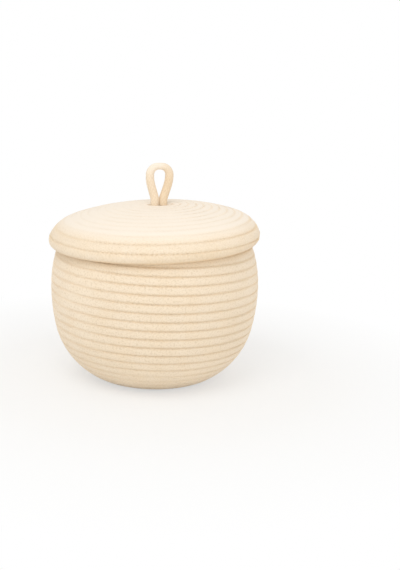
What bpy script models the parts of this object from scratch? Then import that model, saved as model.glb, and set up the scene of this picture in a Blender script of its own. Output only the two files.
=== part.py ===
"""A coiled cotton rope basket with a lift-off lid, made for yarn and knitting.

Three lengths of one rope make it. The basket rope starts at the centre of the flat base and winds
outwards and then up the round wall, each row sewn to the one before. The lid rope winds outwards from
a rope loop in its middle, over a low dome and down to a short skirt that hangs over the rim.
Lengths are in metres, with +Z up and the origin on the ground under the base's centre.
"""
import math

import bmesh
import bpy
import numpy as np

# Rope: the rows are a little thinner than the loop, because the stitches draw them flat
ROW_ROPE_DIAMETER = 0.0073
LOOP_ROPE_DIAMETER = 0.0077
ROPE_CORNERS_RESOLUTION = 1
WELD_SHARE = 0.001
POINTS_PER_TURN = 20
INNER_POINTS_PER_TURN = 10
INNER_TURNS = 3

# Basket: row spacing at the base's centre and at the rim, and the length of the coil in turns
BASE_ROW_PITCH = 0.00818
RIM_ROW_PITCH = 0.00780
BASKET_FIRST_TURN = 0.65
BASKET_LAST_TURN = 24.95

# Basket: the line of the rope's centre from the middle of the base to the rim, as arcs
BASE_FLAT_RADIUS = 0.0420
HEEL_RADIUS = 0.0320
HEEL_ANGLE = math.radians(30)
BOWL_RADIUS = 0.0680
BOWL_ANGLE = math.radians(77)
BELLY_RADIUS = 0.1700
NECK_RADIUS = 0.1180

# The rope is cut flat under the base by a tenth of its diameter, so that the basket stands
FLAT_SHARE = 0.1
CUT_DEPTH = 0.0100
CUT_MARGIN = 0.0100

# Lid: flat middle, dome, shoulder and lip of the rope's centre line
LID_FLAT_RADIUS = 0.0147
DOME_ANGLE = math.radians(17.2)
SHOULDER_RADIUS = 0.0340
SHOULDER_ANGLE = math.radians(40)
LIP_RADIUS = 0.0140
LID_ROW_PITCH = 0.00825
LID_TURNS = 11.9
LID_END_AZIMUTH = math.radians(30)

# Lid on basket: how far its lowest row stands outside the rim, the gap where it rests, and its lean
SKIRT_OVERHANG = 0.0095
SEAT_GAP = 0.0003
LID_LEAN = math.radians(2.6)

# Loop: how far right of the lid's middle it stands, two legs side by side, a bend outwards, a slant,
# a gentle curve back to upright, and a round top
LOOP_OFFSET = 0.0049
LEG_GAP = 0.0005
LEG_HOLE_GAP = 0.0003
LEG_TAIL = 0.0020
LEG_STRAIGHT = 0.0055
LEG_BEND_RADIUS = 0.0120
LEG_SPLAY = math.radians(17.5)
LOOP_SIDE_RADIUS = 0.0360
LOOP_TOP_RADIUS = 0.00935
LOOP_POINT_STEP = 0.0045

# The front of the basket faces -Y. Seen from above, the basket's rope climbs clockwise and the lid's
# rope runs outwards and down counterclockwise, so that the rows of both fall to the right in front
FRONT = math.radians(-90)
CLOCKWISE = -1
COUNTERCLOCKWISE = 1

ROW_RADIUS = ROW_ROPE_DIAMETER / 2
LOOP_ROPE_RADIUS = LOOP_ROPE_DIAMETER / 2
FULL_TURN = 2 * math.pi


def clear_scene():
    """Remove what a new Blender file holds."""
    for obj in list(bpy.data.objects):
        bpy.data.objects.remove(obj, do_unlink=True)


def rope_material(name, colour, roughness):
    """A matt cotton finish with one colour."""
    material = bpy.data.materials.new(name)
    material.use_nodes = True
    shader = material.node_tree.nodes["Principled BSDF"]
    shader.inputs["Base Color"].default_value = (*colour, 1)
    shader.inputs["Roughness"].default_value = roughness
    shader.inputs["Metallic"].default_value = 0
    return material


def walk(lengths, bends, start_height, heading=0.0):
    """Return a function from distance walked to (radius, height, heading) along straights and arcs.

    Each stretch has a length and a bend in radians per metre, and the walk starts on the axis.
    """
    marks = np.concatenate([[0], np.cumsum(lengths)])
    corners = [(0.0, start_height, heading)]
    for length, bend in zip(lengths, bends):
        corners.append(step(*corners[-1], length, bend))
    corners = np.array(corners)
    bends = np.array(bends)

    def at(distance):
        distance = np.asarray(distance, float)
        stretch = np.clip(np.searchsorted(marks, distance, side="right") - 1, 0, len(bends) - 1)
        radius, height, turn = corners[stretch].T
        return step(radius, height, turn, distance - marks[stretch], bends[stretch])

    return at


def step(radius, height, heading, length, bend):
    """Move a length along an arc: the chord points half way between the first and last heading."""
    half = np.asarray(length * bend / 2, float)
    chord = length * np.sinc(half / math.pi)
    return (radius + chord * np.cos(heading + half), height + chord * np.sin(heading + half),
            heading + 2 * half)


def basket_line():
    """The basket's section: flat base, heel, bowl, belly and neck."""
    base_height = ROW_RADIUS - FLAT_SHARE * ROW_ROPE_DIAMETER
    lengths = [
        BASE_FLAT_RADIUS,
        HEEL_RADIUS * HEEL_ANGLE,
        BOWL_RADIUS * (BOWL_ANGLE - HEEL_ANGLE),
        BELLY_RADIUS * (math.pi / 2 - BOWL_ANGLE),
        NECK_RADIUS,
    ]
    bends = [0, 1 / HEEL_RADIUS, 1 / BOWL_RADIUS, 1 / BELLY_RADIUS, 1 / NECK_RADIUS]
    return walk(lengths, bends, base_height)


def basket_distance(turns):
    """Distance along the section after some turns, as the row pitch narrows from base to rim."""
    narrowing = (BASE_ROW_PITCH - RIM_ROW_PITCH) / BASKET_LAST_TURN
    return BASE_ROW_PITCH * turns - narrowing * turns ** 2 / 2


def lid_line(skirt_radius):
    """The lid's section from height 0: a flat middle, a dome, a shoulder and a lip that curls in."""
    lip_reach = LIP_RADIUS * (1 - math.sin(SHOULDER_ANGLE))
    shoulder_reach = SHOULDER_RADIUS * (math.sin(SHOULDER_ANGLE) - math.sin(DOME_ANGLE))
    dome_reach = skirt_radius - LID_FLAT_RADIUS - lip_reach - shoulder_reach
    dome_radius = dome_reach / math.sin(DOME_ANGLE)
    lengths = [
        LID_FLAT_RADIUS,
        dome_radius * DOME_ANGLE,
        SHOULDER_RADIUS * (SHOULDER_ANGLE - DOME_ANGLE),
        LIP_RADIUS * math.pi / 2,
    ]
    bends = [0, -1 / dome_radius, -1 / SHOULDER_RADIUS, -1 / LIP_RADIUS]
    return walk(lengths, bends, 0.0)


def turn_counts(first, last, end_azimuth, sense):
    """Turn counts of a coil's points, on azimuths that every row shares, so that rows stay parallel."""
    def grid(start, stop, per_turn):
        offset = last + sense * (FRONT - end_azimuth) / FULL_TURN
        low = math.ceil((start - offset) * per_turn)
        high = math.floor((stop - offset) * per_turn)
        return offset + np.arange(low, high + 1) / per_turn

    inner = grid(first, INNER_TURNS, INNER_POINTS_PER_TURN)
    outer = grid(INNER_TURNS, last, POINTS_PER_TURN)
    counts = np.concatenate([[first], inner, outer, [last]])
    near = 1 / (4 * POINTS_PER_TURN)
    keep = np.concatenate([[True], np.diff(counts) > near])
    return counts[keep]


def azimuths(counts, last, end_azimuth, sense):
    """Azimuth of each point of a coil that ends at a known azimuth."""
    return end_azimuth + sense * FULL_TURN * (counts - last)


def basket_points():
    """Centre line of the basket's rope and its section's heading."""
    counts = turn_counts(BASKET_FIRST_TURN, BASKET_LAST_TURN, FRONT, CLOCKWISE)
    angle = azimuths(counts, BASKET_LAST_TURN, FRONT, CLOCKWISE)
    radius, height, heading = basket_line()(basket_distance(counts))
    return np.stack([radius * np.cos(angle), radius * np.sin(angle), height], axis=1), heading


def lid_first_turn():
    """The first row starts beside a leg, clear of the loop's two legs."""
    leg_side = leg_offset() + LOOP_ROPE_RADIUS
    return (leg_side + LEG_HOLE_GAP + ROW_RADIUS) / LID_ROW_PITCH


def leg_offset():
    """Distance of each leg's centre from the lid's axis."""
    return (LOOP_ROPE_DIAMETER + LEG_GAP) / 2


def lid_points(skirt_radius):
    """Centre line of the lid's rope, its middle at height 0, and its section's heading.

    The first rows are wound round the pair of legs: they stand off the lid's middle as the loop
    does, and are drawn in at the front and back. Both wear off evenly towards the skirt.
    """
    first = lid_first_turn()
    last = first + LID_TURNS
    counts = turn_counts(first, last, LID_END_AZIMUTH, COUNTERCLOCKWISE)
    angle = azimuths(counts, last, LID_END_AZIMUTH, COUNTERCLOCKWISE)
    radius, height, heading = lid_line(skirt_radius)(LID_ROW_PITCH * counts)
    share = (last - counts) / (last - first)
    right = radius * np.cos(angle) + LOOP_OFFSET * share
    back = (radius - leg_offset() * share) * np.sin(angle)
    points = np.stack([right, back, height], axis=1)
    return points, heading


def lean_about_y(points, height):
    """Turn points about a line along Y at this height, right side up."""
    cos, sin = math.cos(LID_LEAN), math.sin(LID_LEAN)
    x, y, z = points[:, 0], points[:, 1], points[:, 2] - height
    return np.stack([x * cos - z * sin, y, x * sin + z * cos + height], axis=1)


def rim_radius(points):
    """Radius of the basket's last row where its rope ends."""
    return math.hypot(points[-1, 0], points[-1, 1])


def seat_height(hanging, standing, reach):
    """Height at which one rope, let down straight onto another, stops this far from it."""
    apart = np.linalg.norm(hanging[:, None, :2] - standing[None, :, :2], axis=2)
    under = np.sqrt(np.clip(reach ** 2 - apart ** 2, 0, None))
    lift = standing[None, :, 2] - hanging[:, None, 2] + under
    return lift[apart < reach].max()


def loop_points():
    """Centre line of the loop, in the plane y = 0, with the lid's middle at height 0."""
    leg = leg_offset()
    splay_sin, splay_cos = math.sin(LEG_SPLAY), math.cos(LEG_SPLAY)
    bend_out = LEG_BEND_RADIUS * (1 - splay_cos)
    curve_back = LOOP_SIDE_RADIUS * (1 - splay_cos)
    slant = (LOOP_TOP_RADIUS - leg - bend_out - curve_back) / splay_sin
    lengths = [
        LEG_TAIL + ROW_RADIUS + LEG_STRAIGHT,
        LEG_BEND_RADIUS * LEG_SPLAY,
        slant,
        LOOP_SIDE_RADIUS * LEG_SPLAY,
        LOOP_TOP_RADIUS * math.pi / 2,
    ]
    bends = [0, -1 / LEG_BEND_RADIUS, 0, 1 / LOOP_SIDE_RADIUS, 1 / LOOP_TOP_RADIUS]
    line = walk(lengths, bends, -LEG_TAIL - ROW_RADIUS, heading=math.pi / 2)
    whole = sum(lengths)
    distance = np.linspace(0, whole, math.ceil(whole / LOOP_POINT_STEP) + 1)
    out, height, _ = line(distance)
    right = np.stack([leg + out, np.zeros_like(out), height], axis=1)
    right[-1, 0] = 0.0
    left = right[-2::-1] * np.array([-1, 1, 1])
    return np.concatenate([right, left]) + np.array([LOOP_OFFSET, 0, 0])


def rope(name, points, diameter, material, collection, tilt=None):
    """One unbroken rope: a poly curve along the points with a round bevel and closed ends.

    A coil's rope is tilted against its winding with its section's heading, so that the corners of
    its facets face the rows on both sides.
    """
    curve = bpy.data.curves.new(name, "CURVE")
    curve.dimensions = "3D"
    curve.twist_mode = "MINIMUM" if tilt is None else "Z_UP"
    curve.bevel_depth = diameter / 2
    curve.bevel_resolution = ROPE_CORNERS_RESOLUTION
    curve.use_fill_caps = True
    spline = curve.splines.new("POLY")
    spline.points.add(len(points) - 1)
    spline.points.foreach_set("co", np.column_stack([points, np.ones(len(points))]).ravel())
    if tilt is not None:
        spline.points.foreach_set("tilt", tilt)
    curve.materials.append(material)
    obj = bpy.data.objects.new(name, curve)
    collection.objects.link(obj)
    return obj


def mesh_from_curve(obj, collection):
    """Replace a curve object by a mesh object of the same name, with its end caps joined on."""
    bpy.context.view_layer.update()
    evaluated = obj.evaluated_get(bpy.context.evaluated_depsgraph_get())
    mesh = bpy.data.meshes.new_from_object(evaluated)
    shell = bmesh.new()
    shell.from_mesh(mesh)
    bmesh.ops.remove_doubles(shell, verts=shell.verts, dist=ROW_ROPE_DIAMETER * WELD_SHARE)
    shell.to_mesh(mesh)
    shell.free()
    name, place = obj.name, obj.matrix_world.copy()
    bpy.data.objects.remove(obj, do_unlink=True)
    result = bpy.data.objects.new(name, mesh)
    result.matrix_world = place
    collection.objects.link(result)
    return result


def ground_cutter(collection):
    """A block whose top face is the ground, to cut the rope under the base flat."""
    bpy.ops.mesh.primitive_cube_add(size=1)
    block = bpy.context.active_object
    block.name = "ground_cutter"
    side = 2 * (BASE_FLAT_RADIUS + HEEL_RADIUS + CUT_MARGIN)
    block.scale = (side, side, CUT_DEPTH)
    block.location = (0, 0, -CUT_DEPTH / 2)
    block.hide_render = True
    block.display_type = "WIRE"
    for home in list(block.users_collection):
        home.objects.unlink(block)
    collection.objects.link(block)
    return block


def cut(obj, cutter):
    """Take the cutter's space out of an object."""
    modifier = obj.modifiers.new("flat_underside", "BOOLEAN")
    modifier.operation = "DIFFERENCE"
    modifier.object = cutter
    modifier.solver = "EXACT"


def least_gap(points, other, diameter, apart=0):
    """Least clear space between two ropes, from their centre points.

    For a rope against itself, points less than a number of places apart on it don't count.
    """
    distance = np.linalg.norm(points[:, None] - other[None], axis=2)
    if apart:
        place = np.arange(len(points))
        distance[np.abs(place[:, None] - place[None]) < apart] = np.inf
    return distance.min() - diameter


def report_gaps(basket, lid, loop):
    """Print the least gap of each rope to itself and between the lid and the basket."""
    half_turn = INNER_POINTS_PER_TURN // 2
    gaps = {
        "basket rope to itself": least_gap(basket, basket, ROW_ROPE_DIAMETER, half_turn),
        "lid rope to itself": least_gap(lid, lid, ROW_ROPE_DIAMETER, half_turn),
        "loop rope to itself": least_gap(loop, loop, LOOP_ROPE_DIAMETER, len(loop) // 2),
        "lid rope to basket rope": least_gap(lid, basket, ROW_ROPE_DIAMETER),
    }
    for name, gap in gaps.items():
        print(f"least gap, {name}: {gap * 1000:.2f} mm")


def main():
    clear_scene()
    parts = bpy.data.collections.new("knitting_basket")
    cutters = bpy.data.collections.new("cutters")
    bpy.context.scene.collection.children.link(parts)
    bpy.context.scene.collection.children.link(cutters)
    cotton = rope_material("natural_cotton_rope", (0.80, 0.69, 0.53), 0.9)
    lid_cotton = rope_material("lid_cotton_rope", (0.84, 0.75, 0.60), 0.9)

    basket, heading = basket_points()
    coil = rope("basket_rope", basket, ROW_ROPE_DIAMETER, cotton, parts, -CLOCKWISE * heading)
    cut(mesh_from_curve(coil, parts), ground_cutter(cutters))

    level_lid, lid_heading = lid_points(rim_radius(basket) + SKIRT_OVERHANG)
    skirt_height = level_lid[-1, 2]
    lid = lean_about_y(level_lid, skirt_height)
    loop = lean_about_y(loop_points(), skirt_height)
    seat = seat_height(lid, basket, ROW_ROPE_DIAMETER + SEAT_GAP)
    lid[:, 2] += seat
    loop[:, 2] += seat
    rope("lid_rope", lid, ROW_ROPE_DIAMETER, lid_cotton, parts, -COUNTERCLOCKWISE * lid_heading)
    rope("loop_handle", loop, LOOP_ROPE_DIAMETER, lid_cotton, parts)
    report_gaps(basket, lid, loop)


main()
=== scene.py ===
"""A coiled cotton rope basket for knitting, with a domed lift-off lid and a rope loop.

The basket and the lid are each one length of rope, wound in a spiral and sewn row to row with a
zigzag of thread. Every rope is a profile carried along a path that is worked out as whole arrays.
Lengths are in metres, +Z is up, and the front of the basket faces -Y.
"""
import math

import bpy
import numpy as np
from bpy.props import FloatProperty, FloatVectorProperty, IntProperty, PointerProperty
from mathutils import Matrix


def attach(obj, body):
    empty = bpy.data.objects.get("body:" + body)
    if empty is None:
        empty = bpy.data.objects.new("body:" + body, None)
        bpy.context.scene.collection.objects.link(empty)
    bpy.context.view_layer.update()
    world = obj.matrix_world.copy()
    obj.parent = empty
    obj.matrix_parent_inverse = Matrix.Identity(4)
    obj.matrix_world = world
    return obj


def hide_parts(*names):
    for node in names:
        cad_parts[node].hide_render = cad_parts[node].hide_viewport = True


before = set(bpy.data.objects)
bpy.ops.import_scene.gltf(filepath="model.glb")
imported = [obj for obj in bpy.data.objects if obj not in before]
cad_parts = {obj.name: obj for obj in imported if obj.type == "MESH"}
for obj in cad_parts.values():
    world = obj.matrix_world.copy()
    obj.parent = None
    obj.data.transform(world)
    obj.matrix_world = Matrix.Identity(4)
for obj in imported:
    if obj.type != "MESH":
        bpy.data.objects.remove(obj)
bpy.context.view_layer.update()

bl_info = {
    "name": "Coiled Rope Knitting Basket",
    "version": (1, 0, 0),
    "blender": (4, 5, 0),
    "location": "3D View > Sidebar > Basket",
    "description": "Builds a coiled rope basket with a lid, its stitches, and a soft studio",
    "category": "Add Mesh",
}

FULL_TURN = 2 * math.pi
FRONT = math.radians(-90)
CLOCKWISE = -1
COUNTERCLOCKWISE = 1

# How far the lid sits up at its right and at its back. The painted shadow under its edge follows it
# too
LID_LEAN_SIDE = math.radians(3.1)
LID_LEAN_BACK = math.radians(1.37)


# Sizes and colours a user may change

class RopeSettings(bpy.types.PropertyGroup):
    """The wound rope, and how hard its rows press on each other"""
    crest: FloatProperty(
        name="Crest", description="Half the rope's thickness through the wall", default=0.0040,
        unit="LENGTH")
    squareness: FloatProperty(
        name="Squareness", description="The rope's section: 2 is round, more is squarer",
        default=3.2)
    free_squareness: FloatProperty(
        name="Free squareness", description="The same on the side of a row that has no neighbour",
        default=2.1)
    press: FloatProperty(
        name="Press", description="How flat the rows press on each other: 1 touches at a line",
        default=1.17)
    side_press: FloatProperty(
        name="Side press", description="How much harder they press at the left", default=0.80)
    lid_press: FloatProperty(
        name="Lid press", description="The same in the lid's middle, which is pulled tightest",
        default=1.85)
    sides: IntProperty(name="Sides", description="Points round the rope", default=26)
    steps_per_turn: IntProperty(
        name="Steps", description="Points in each turn of a coil", default=144)
    unevenness: FloatProperty(
        name="Unevenness", description="How much the rope's thickness varies by hand",
        default=0.00010, unit="LENGTH")
    taper: FloatProperty(
        name="Taper", description="Length over which a rope's ends thin out", default=0.022,
        unit="LENGTH")


class BasketSettings(bpy.types.PropertyGroup):
    """The basket's coil, and the arcs of its section from the base to the rim"""
    base_pitch: FloatProperty(
        name="Base pitch", description="Row spacing at the base's centre", default=0.00818,
        unit="LENGTH")
    rim_pitch: FloatProperty(
        name="Rim pitch", description="Row spacing at the rim", default=0.00780, unit="LENGTH")
    first_turn: FloatProperty(name="First turn", description="Where the rope starts", default=0.40)
    last_turn: FloatProperty(name="Last turn", description="Where the rope ends", default=24.95)
    flat_radius: FloatProperty(
        name="Flat radius", description="Radius of the flat base", default=0.0420, unit="LENGTH")
    heel_radius: FloatProperty(
        name="Heel radius", description="Bend from the base", default=0.0318, unit="LENGTH")
    bowl_radius: FloatProperty(
        name="Bowl radius", description="Bend of the lower wall", default=0.0680, unit="LENGTH")
    belly_radius: FloatProperty(
        name="Belly radius", description="Bend of the middle wall", default=0.1697, unit="LENGTH")
    neck_radius: FloatProperty(
        name="Neck radius", description="Bend in towards the rim", default=0.1107, unit="LENGTH")
    heel_angle: FloatProperty(
        name="Heel angle", description="Slope at the heel's end", default=math.radians(30.1),
        unit="ROTATION")
    bowl_angle: FloatProperty(
        name="Bowl angle", description="Slope at the bowl's end", default=math.radians(77),
        unit="ROTATION")


class LidSettings(bpy.types.PropertyGroup):
    """The lid's coil, the arcs of its section, and how it sits on the basket"""
    pitch: FloatProperty(
        name="Pitch", description="Row spacing of the lid", default=0.00752, unit="LENGTH")
    apex: FloatProperty(
        name="Apex", description="Height of the rope's centre in the lid's middle", default=0.1625,
        unit="LENGTH")
    flat_radius: FloatProperty(
        name="Flat radius", description="Radius of the lid's flat middle", default=0.0147,
        unit="LENGTH")
    dome_radius: FloatProperty(
        name="Dome radius", description="Bend of the lid's top", default=0.2127, unit="LENGTH")
    shoulder_radius: FloatProperty(
        name="Shoulder radius", description="Bend from the top to the skirt", default=0.0235,
        unit="LENGTH")
    lip_radius: FloatProperty(
        name="Lip radius", description="Curl of the skirt's edge", default=0.0043, unit="LENGTH")
    dome_angle: FloatProperty(
        name="Dome angle", description="Slope at the dome's end", default=math.radians(18.2),
        unit="ROTATION")
    shoulder_angle: FloatProperty(
        name="Shoulder angle", description="Slope at the shoulder's end",
        default=math.radians(66.6), unit="ROTATION")
    lean_side: FloatProperty(
        name="Lean sideways", description="How far the lid sits up at its right",
        default=LID_LEAN_SIDE, unit="ROTATION")
    lean_back: FloatProperty(
        name="Lean forwards", description="How far the lid sits up at its back",
        default=LID_LEAN_BACK, unit="ROTATION")
    pivot_height: FloatProperty(
        name="Pivot height", description="Height of the line that the lid leans about",
        default=0.1360, unit="LENGTH")
    shift_x: FloatProperty(
        name="Shift X", description="How far the lid sits to the right", default=-0.0017,
        unit="LENGTH")
    shift_y: FloatProperty(
        name="Shift Y", description="How far the lid sits to the back", default=0.0008,
        unit="LENGTH")
    first_turn: FloatProperty(name="First turn", description="Where the rope starts", default=0.68)
    hole: FloatProperty(
        name="Hole", description="Room for the loop's legs in the middle, in rows", default=1.05)
    last_turn: FloatProperty(name="Last turn", description="Where the rope ends", default=14.46)
    end_azimuth: FloatProperty(
        name="End", description="Azimuth of the rope's end", default=math.radians(30),
        unit="ROTATION")


class LoopSettings(bpy.types.PropertyGroup):
    """The loop's rope, and the straights and arcs of one half of it"""
    radius: FloatProperty(
        name="Radius", description="Half the loop rope's thickness", default=0.00395, unit="LENGTH")
    top_thinning: FloatProperty(
        name="Top thinning", description="Share by which the rope is thinner where it bends over",
        default=0.20)
    offset: FloatProperty(
        name="Offset", description="How far right of the lid's middle the loop stands",
        default=0.0045, unit="LENGTH")
    turn: FloatProperty(
        name="Turn", description="How far the loop is turned about its own axis",
        default=math.radians(14), unit="ROTATION")
    tilt: FloatProperty(
        name="Tilt", description="How far the loop leans to the right of upright on the lid",
        default=math.radians(3.2), unit="ROTATION")
    leg_offset: FloatProperty(
        name="Leg offset", description="Distance of each leg from the loop's middle",
        default=0.00395, unit="LENGTH")
    tail: FloatProperty(
        name="Tail", description="How far the legs reach below the lid's rope", default=0.0020,
        unit="LENGTH")
    straight: FloatProperty(
        name="Straight", description="Straight part of the legs", default=0.0074, unit="LENGTH")
    bend_radius: FloatProperty(
        name="Bend radius", description="Bend of the legs outwards", default=0.0120, unit="LENGTH")
    splay: FloatProperty(
        name="Splay", description="Slant of the legs", default=math.radians(17.5), unit="ROTATION")
    side_radius: FloatProperty(
        name="Side radius", description="Bend of the sides back to upright", default=0.0360,
        unit="LENGTH")
    top_radius: FloatProperty(
        name="Top radius", description="Bend over the loop's top", default=0.00795, unit="LENGTH")
    top_flat: FloatProperty(
        name="Top flat", description="Half the straight part of the loop's top", default=0.0014,
        unit="LENGTH")


class StitchSettings(bpy.types.PropertyGroup):
    """The thread in the seams"""
    thread: FloatProperty(
        name="Thread", description="Half the thread's thickness", default=0.00018, unit="LENGTH")
    spacing: FloatProperty(
        name="Spacing", description="Distance between needle holes along a seam", default=0.0017,
        unit="LENGTH")
    reach: FloatProperty(
        name="Reach", description="How far a stitch reaches to each side of a seam, in rows",
        default=0.24)
    sink: FloatProperty(
        name="Sink", description="How deep the thread goes in at a needle hole", default=0.0006,
        unit="LENGTH")
    bed: FloatProperty(
        name="Bed", description="How deep it is drawn into the rope where rows are pressed flat",
        default=0.00014, unit="LENGTH")


class ColourSettings(bpy.types.PropertyGroup):
    """The colours of the cotton"""
    cotton: FloatVectorProperty(
        name="Cotton", description="The rope's colour", default=(0.926, 0.797, 0.634),
        subtype="COLOR")
    # Painted shade: the colour put in the seams, between the strands and under the lid, where shade
    # falls
    shade_colour: FloatVectorProperty(
        name="Hollow", description="The colour between strands, in seams and under the lid",
        default=(0.760, 0.540, 0.300), subtype="COLOR")
    fleck: FloatVectorProperty(
        name="Fleck", description="Colour of the small flecks in the cotton",
        default=(0.690, 0.550, 0.375), subtype="COLOR")
    warm: FloatVectorProperty(
        name="Warm", description="The colour of the rope's warmer patches",
        default=(0.916, 0.767, 0.582), subtype="COLOR")
    # Painted light: the paler colour put on the lid's middle and the loop's top, where light falls
    faded: FloatVectorProperty(
        name="Faded", description="The colour where the lid and the loop have faded",
        default=(0.912, 0.824, 0.712), subtype="COLOR")
    thread: FloatVectorProperty(
        name="Thread", description="The sewing thread's colour", default=(0.900, 0.790, 0.620),
        subtype="COLOR")


class StageSettings(bpy.types.PropertyGroup):
    """The camera and the lights"""
    distance: FloatProperty(
        name="Distance", description="How far the camera stands in front", default=0.9000,
        unit="LENGTH")
    height: FloatProperty(
        name="Height", description="The camera's height", default=0.2972, unit="LENGTH")
    yaw: FloatProperty(
        name="Yaw", description="Turn of the camera to the right", default=math.radians(2.74),
        unit="ROTATION")
    pitch: FloatProperty(
        name="Pitch", description="Turn of the camera upwards", default=math.radians(-12.96),
        unit="ROTATION")
    roll: FloatProperty(
        name="Roll", description="Turn of the camera about its own axis",
        default=math.radians(2.21), unit="ROTATION")
    lens: FloatProperty(
        name="Lens", description="Focal length in millimetres", default=60.73, unit="CAMERA")
    ambient: FloatProperty(
        name="Ambient", description="Strength of the light from all round", default=0.83)
    key_power: FloatProperty(
        name="Key", description="Power of the large lamp at the upper left", default=5.4,
        unit="POWER")
    side_power: FloatProperty(
        name="Side", description="Power of the lamp at the left", default=0.3, unit="POWER")
    fill_power: FloatProperty(
        name="Fill", description="Power of the lamp in front", default=2.2, unit="POWER")


SETTINGS = {
    "basket_rope_sizes": RopeSettings,
    "basket_shape": BasketSettings,
    "basket_lid": LidSettings,
    "basket_loop": LoopSettings,
    "basket_stitches": StitchSettings,
    "basket_colours": ColourSettings,
    "basket_stage": StageSettings,
}


# Paths

def step(radius, height, heading, length, bend):
    """Move a length along an arc: the chord points half way between the first and last heading."""
    half = np.asarray(length * bend / 2, float)
    chord = length * np.sinc(half / math.pi)
    return (radius + chord * np.cos(heading + half), height + chord * np.sin(heading + half),
            heading + 2 * half)


def walk(lengths, bends, start_height, heading=0.0):
    """Return a function from distance to (radius, height, heading) along straights and arcs."""
    marks = np.concatenate([[0], np.cumsum(lengths)])
    corners = [(0.0, start_height, heading)]
    for length, bend in zip(lengths, bends):
        corners.append(step(*corners[-1], length, bend))
    corners = np.array(corners)
    bends = np.array(bends)

    def at(distance):
        distance = np.asarray(distance, float)
        stretch = np.clip(np.searchsorted(marks, distance, side="right") - 1, 0, len(bends) - 1)
        radius, height, turn = np.moveaxis(corners[stretch], -1, 0)
        return step(radius, height, turn, distance - marks[stretch], bends[stretch])

    return at


def basket_section(shape, rope):
    """The basket's section as arcs: flat base, heel, bowl, belly and neck."""
    lengths = [
        shape.flat_radius,
        shape.heel_radius * shape.heel_angle,
        shape.bowl_radius * (shape.bowl_angle - shape.heel_angle),
        shape.belly_radius * (math.pi / 2 - shape.bowl_angle),
        shape.neck_radius,
    ]
    bends = [0, 1 / shape.heel_radius, 1 / shape.bowl_radius, 1 / shape.belly_radius,
             1 / shape.neck_radius]
    return walk(lengths, bends, rope.crest)


def lid_section(lid):
    """The lid's section as arcs from height 0: flat middle, dome, shoulder and lip."""
    lengths = [
        lid.flat_radius,
        lid.dome_radius * lid.dome_angle,
        lid.shoulder_radius * (lid.shoulder_angle - lid.dome_angle),
        lid.lip_radius * math.pi,
    ]
    bends = [0, -1 / lid.dome_radius, -1 / lid.shoulder_radius, -1 / lid.lip_radius]
    return walk(lengths, bends, 0.0)


class Coil:
    """A rope wound in a spiral on a turned section.

    At a turn count n the rope's centre is at distance s(n) along the section, and at the azimuth
    end + sense * 2 pi (n - last). The outward direction is (sin h, -cos h) in the plane of radius
    and height, where h is the section's heading, times the sign that makes it face out of the
    basket or off the lid. The drift is how far the first row is moved along X, and drawn in at
    the front and back, which fades evenly to nothing at the last.
    """

    def __init__(self, section, spacing, first, last, end_azimuth, sense, outward, steps,
                 drift=(0.0, 0.0)):
        self.section = section
        self.drift = drift
        self.spacing = spacing
        self.first = first
        self.last = last
        self.end_azimuth = end_azimuth
        self.sense = sense
        self.outward = outward
        self.turns = np.linspace(first, last, int(round((last - first) * steps)) + 1)

    def azimuth(self, turns):
        """Azimuth at each turn count."""
        return self.end_azimuth + self.sense * FULL_TURN * (turns - self.last)

    def place(self, turns, across=0.0):
        """Point of the coiled surface, and its outward direction.

        across is the distance from the rope's centre in rows: 0.5 is the seam with the next row,
        and -0.5 the seam with the row before.
        """
        row = turns + across
        radius, height, heading = self.section(self.spacing(row))
        angle = self.azimuth(turns)
        cos, sin = np.cos(angle), np.sin(angle)
        left = (self.last - row) / (self.last - self.first)
        along_x, draw_in = self.drift
        point = np.stack([radius * cos + along_x * left, (radius - draw_in * left) * sin, height],
                         axis=-1)
        out = self.outward * np.stack(
            [np.sin(heading) * cos, np.sin(heading) * sin, -np.cos(heading)], axis=-1)
        return point, out


# Meshes

UV_MAP = "rope"
CREASE = math.radians(38)

# The waves of a rope's unevenness: share, length of one radian, and how far the phase shifts it
WAVES = ((0.5, 0.0131, 1.0), (0.3, 0.0071, 2.1), (0.2, 0.0373, 0.7))
COIL_PHASE = 1.7
LOOP_PHASE = 0.4

# A rope's ends: the length that is rounded, and the length that has extra points, and how many
ROUNDED_END = 0.0035
FINE_END = 0.0040
FINE_POINTS = 7

# About the radius of a coil's first turn and of its last, where the extra points are
FIRST_RADIUS = 0.003
LAST_RADIUS = 0.090

# A slanting tip's width and height, and the least width beside the lid's hole, as shares
TIP_WIDTH = 0.35
TIP_HEIGHT = 0.60
LEAST_WIDTH = 0.10

# Rows over which a side that is free turns into one that is sewn
FREE_CHANGE = 0.02


def profile(sides):
    """Where a rope's section has its points: x from 1 to -1 over the top, then back below.

    x = cos(t), so that the points lie closest at the seams. Returned with them are the side of the
    rope, 1 or -1, and the share of the way round at each point and at the close.
    """
    half = sides // 2
    x = np.cos(np.linspace(0, math.pi, half))
    around = (1 - x) / 4
    return (np.concatenate([x, -x]), np.repeat([1.0, -1.0], half),
            np.concatenate([around, around + 0.5, [1.0]]))


def wobble(distance, phase):
    """A slow, smooth unevenness from -1 to 1: a sum of sines whose lengths share no multiple."""
    return sum(share * np.sin(distance / length + shift * phase)
               for share, length, shift in WAVES)


def path_length(points):
    """Distance along a path at each of its points."""
    return np.concatenate([[0], np.cumsum(np.linalg.norm(np.diff(points, axis=0), axis=1))])


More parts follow.
